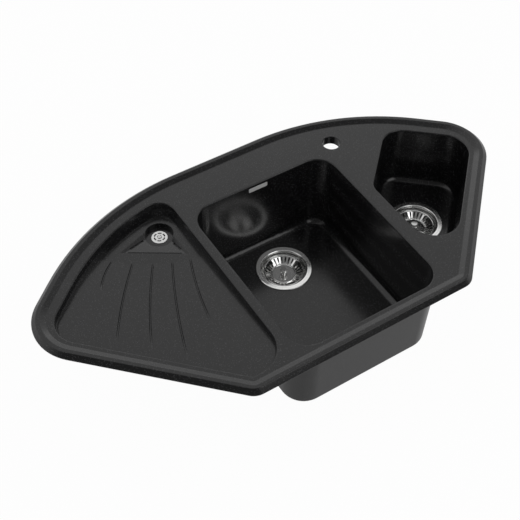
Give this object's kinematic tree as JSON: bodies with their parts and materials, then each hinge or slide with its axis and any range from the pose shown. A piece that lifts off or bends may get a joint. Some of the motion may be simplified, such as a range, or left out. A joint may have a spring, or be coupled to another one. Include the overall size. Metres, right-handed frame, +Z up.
{
  "type": "corner kitchen sink",
  "caption": "Inset corner kitchen sink in dark composite: ribbed drainer tray, deep main bowl, five-sided small bowl, tap hole, basket wastes, tray drain and fixing clips.",
  "frame": {"origin": "on the tap hole's axis, at the worktop plane that the rim rests on", "axes": "+Z up out of the tap hole, +X along the back and front edges to the small bowl's side, +Y to the back, into the corner of the room"},
  "size_m": [0.95, 0.51, 0.252],
  "materials": {
    "composite": "matt stone composite with fine speckle",
    "steel": "polished stainless steel",
    "clip_steel": "zinc plated",
    "rubber": "matt",
    "pipework": "moulded satin",
    "plastic_light": "moulded satin",
    "foam": "foam"
  },
  "bodies": {
    "sink": {"sink_body": "composite", "rim_sealing_strip": "foam", "main_waste_flange": "steel", "main_waste_seal": "rubber", "main_waste_gasket": "rubber", "main_waste_body": "pipework", "main_waste_bolt": "steel", "small_waste_flange": "steel", "small_waste_seal": "rubber", "small_waste_gasket": "rubber", "small_waste_body": "pipework", "small_waste_bolt": "steel", "drainer_cap": "steel", "drainer_screw": "steel", "drainer_seal": "rubber", "drainer_outlet": "pipework", "fixing_clip_screws": "clip_steel"},
    "main_basket_unit": {"main_basket": "steel", "main_knob": "steel", "main_basket_post": "steel", "main_basket_stopper": "rubber", "main_basket_catch": "plastic_light"},
    "small_basket_unit": {"small_basket": "steel", "small_knob": "steel", "small_basket_post": "steel", "small_basket_stopper": "rubber", "small_basket_catch": "plastic_light"},
    "clip_1": {"fixing_clip_1": "clip_steel"},
    "clip_2": {"fixing_clip_2": "clip_steel"},
    "clip_3": {"fixing_clip_3": "clip_steel"},
    "clip_4": {"fixing_clip_4": "clip_steel"},
    "clip_5": {"fixing_clip_5": "clip_steel"},
    "clip_6": {"fixing_clip_6": "clip_steel"}
  },
  "joints": [
    {"name": "main_basket_lift", "type": "slide", "parent": "sink", "child": "main_basket_unit", "axis": [0, 0, 1], "range_m": [0, 0.23]},
    {"name": "small_basket_lift", "type": "slide", "parent": "sink", "child": "small_basket_unit", "axis": [0, 0, 1], "range_m": [0, 0.195]},
    {"name": "clip_1_swing", "type": "hinge", "parent": "sink", "child": "clip_1", "pos_m": [-0.276, 0.0442, -0.034], "axis": [0, 0, -1], "range_deg": [0, 90]},
    {"name": "clip_2_swing", "type": "hinge", "parent": "sink", "child": "clip_2", "pos_m": [-0.076, 0.0442, -0.034], "axis": [0, 0, -1], "range_deg": [0, 90]},
    {"name": "clip_3_swing", "type": "hinge", "parent": "sink", "child": "clip_3", "pos_m": [0.084, 0.002, -0.034], "axis": [0, 0, -1], "range_deg": [0, 90]},
    {"name": "clip_4_swing", "type": "hinge", "parent": "sink", "child": "clip_4", "pos_m": [0.006, -0.36006, -0.034], "axis": [0, 0, -1], "range_deg": [0, 90]},
    {"name": "clip_5_swing", "type": "hinge", "parent": "sink", "child": "clip_5", "pos_m": [-0.54605, -0.25201, -0.034], "axis": [0, 0, -1], "range_deg": [0, 90]},
    {"name": "clip_6_swing", "type": "hinge", "parent": "sink", "child": "clip_6", "pos_m": [-0.45101, -0.34705, -0.034], "axis": [0, 0, -1], "range_deg": [0, 90]}
  ]
}
